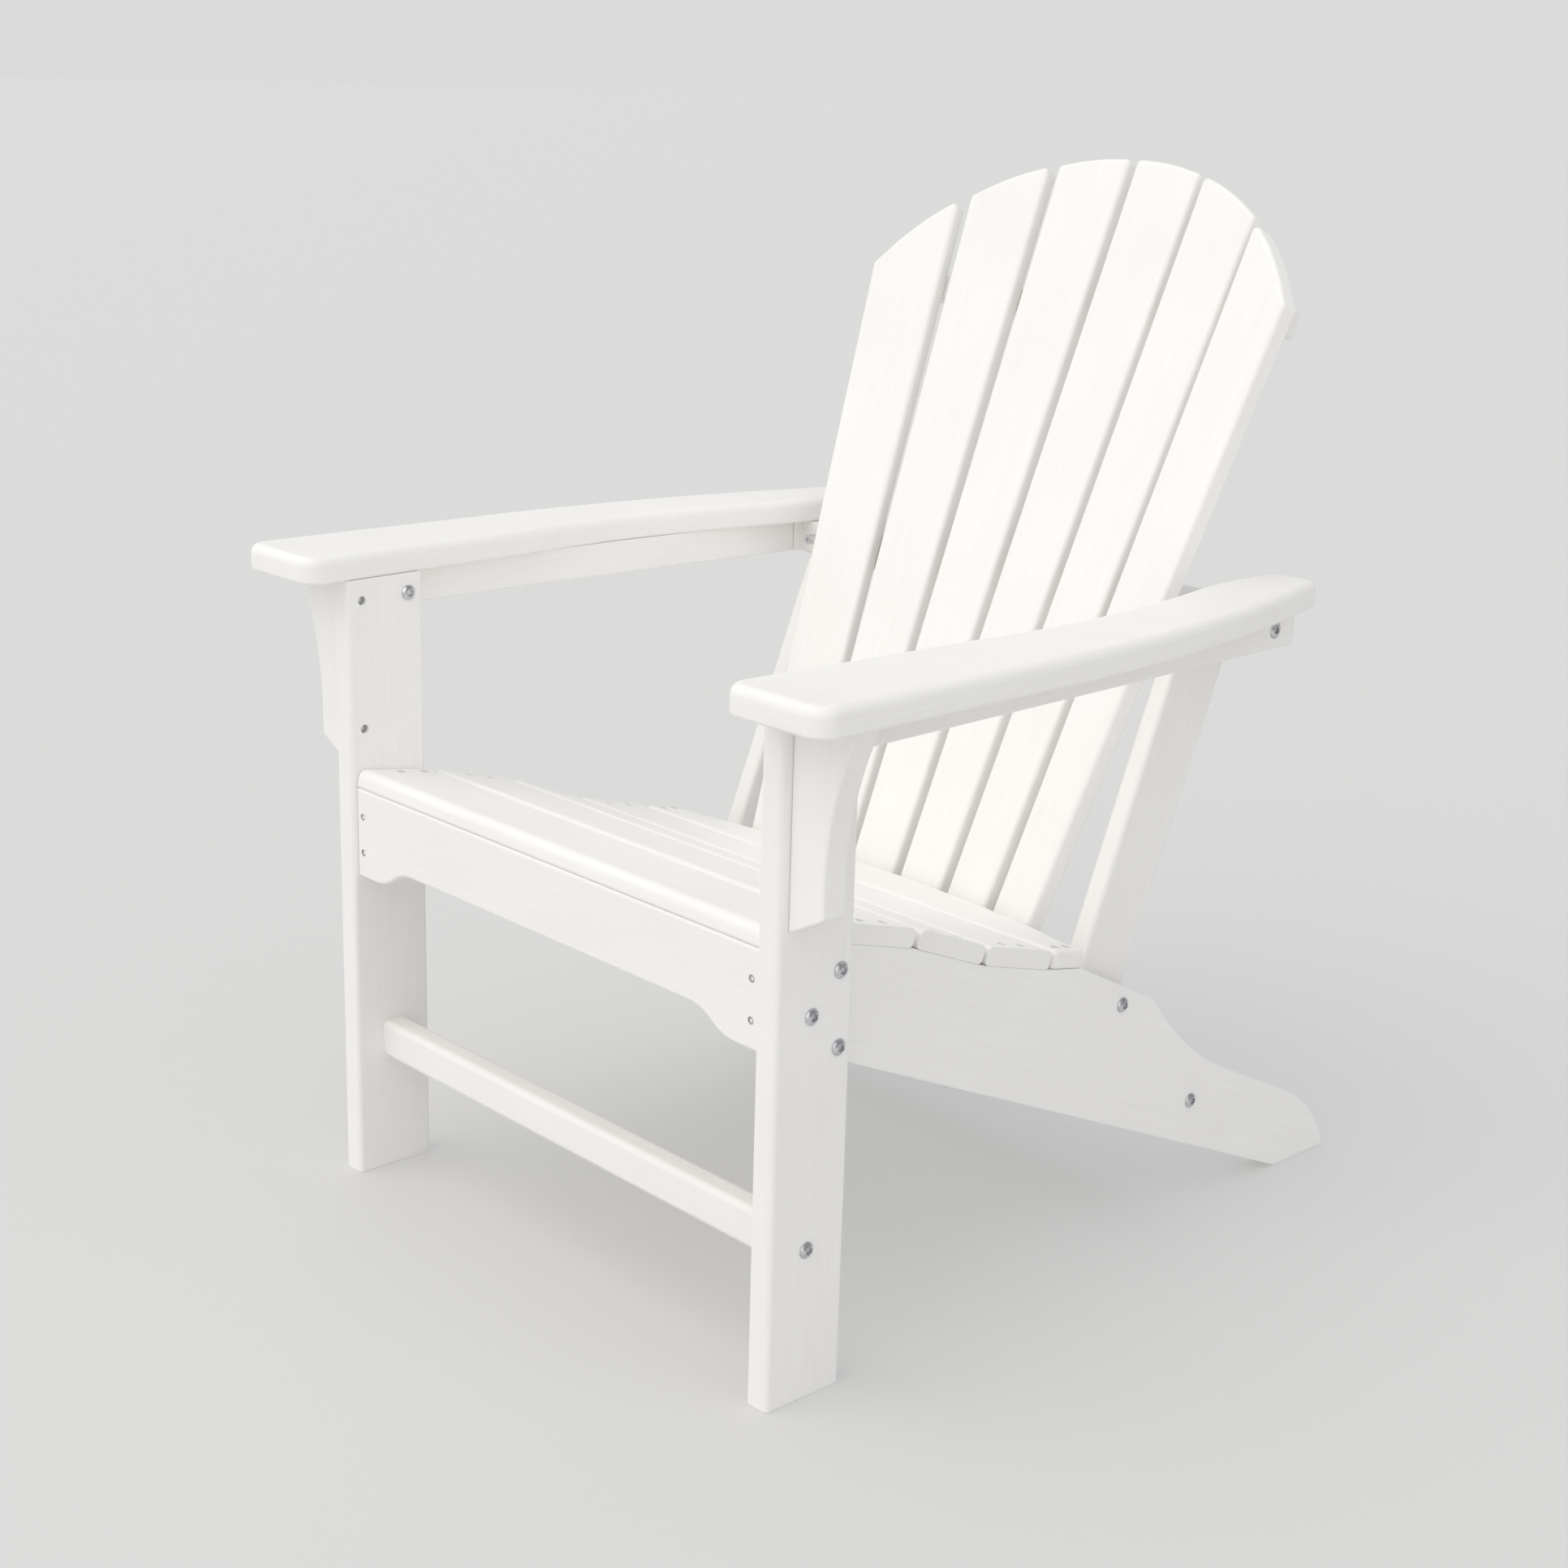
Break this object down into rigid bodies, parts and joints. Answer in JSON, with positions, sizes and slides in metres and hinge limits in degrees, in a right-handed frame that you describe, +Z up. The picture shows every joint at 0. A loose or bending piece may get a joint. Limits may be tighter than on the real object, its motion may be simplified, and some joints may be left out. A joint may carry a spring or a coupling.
{
  "type": "adirondack chair",
  "caption": "Outdoor lounge chair with a fan-shaped slatted back, a dished slatted seat, wide flat arms and long sled-shaped side rails",
  "frame": {"origin": "on the floor, at the middle of the chair's overall length and width", "axes": "+Z up; +X towards the sitter's left; -Y the way the sitter faces; the chair is the same on both sides of the plane x = 0"},
  "size_m": [0.7566, 0.8144, 0.9423],
  "materials": {
    "lumber": "warm white recycled-plastic lumber, satin, with a very fine brushed grain along each board",
    "steel": "stainless button-head bolts and countersunk screws"
  },
  "bodies": {
    "root": {"leg_left": "lumber", "leg_right": "lumber", "apron": "lumber", "front_stretcher": "lumber", "rear_stretcher": "lumber", "side_rail_left": "lumber", "side_rail_right": "lumber", "seat_slat_1": "lumber", "seat_slat_2": "lumber", "seat_slat_3": "lumber", "seat_slat_4": "lumber", "seat_slat_5": "lumber", "post_left": "lumber", "post_right": "lumber", "post_spacers": "steel", "mid_brace": "lumber", "upper_brace": "lumber", "lower_brace": "lumber", "back_slat_1": "lumber", "back_slat_2": "lumber", "back_slat_3": "lumber", "back_slat_4": "lumber", "back_slat_5": "lumber", "back_slat_6": "lumber", "arm_left": "lumber", "arm_right": "lumber", "arm_rail_left": "lumber", "arm_rail_right": "lumber", "corbel_left": "lumber", "corbel_right": "lumber", "leg_bolts": "steel", "stretcher_bolts": "steel", "post_bolts": "steel", "arm_bolts": "steel", "barrel_nuts": "steel", "apron_screws": "steel", "corbel_screws": "steel", "seat_screws": "steel", "back_screws": "steel"}
  },
  "joints": []
}
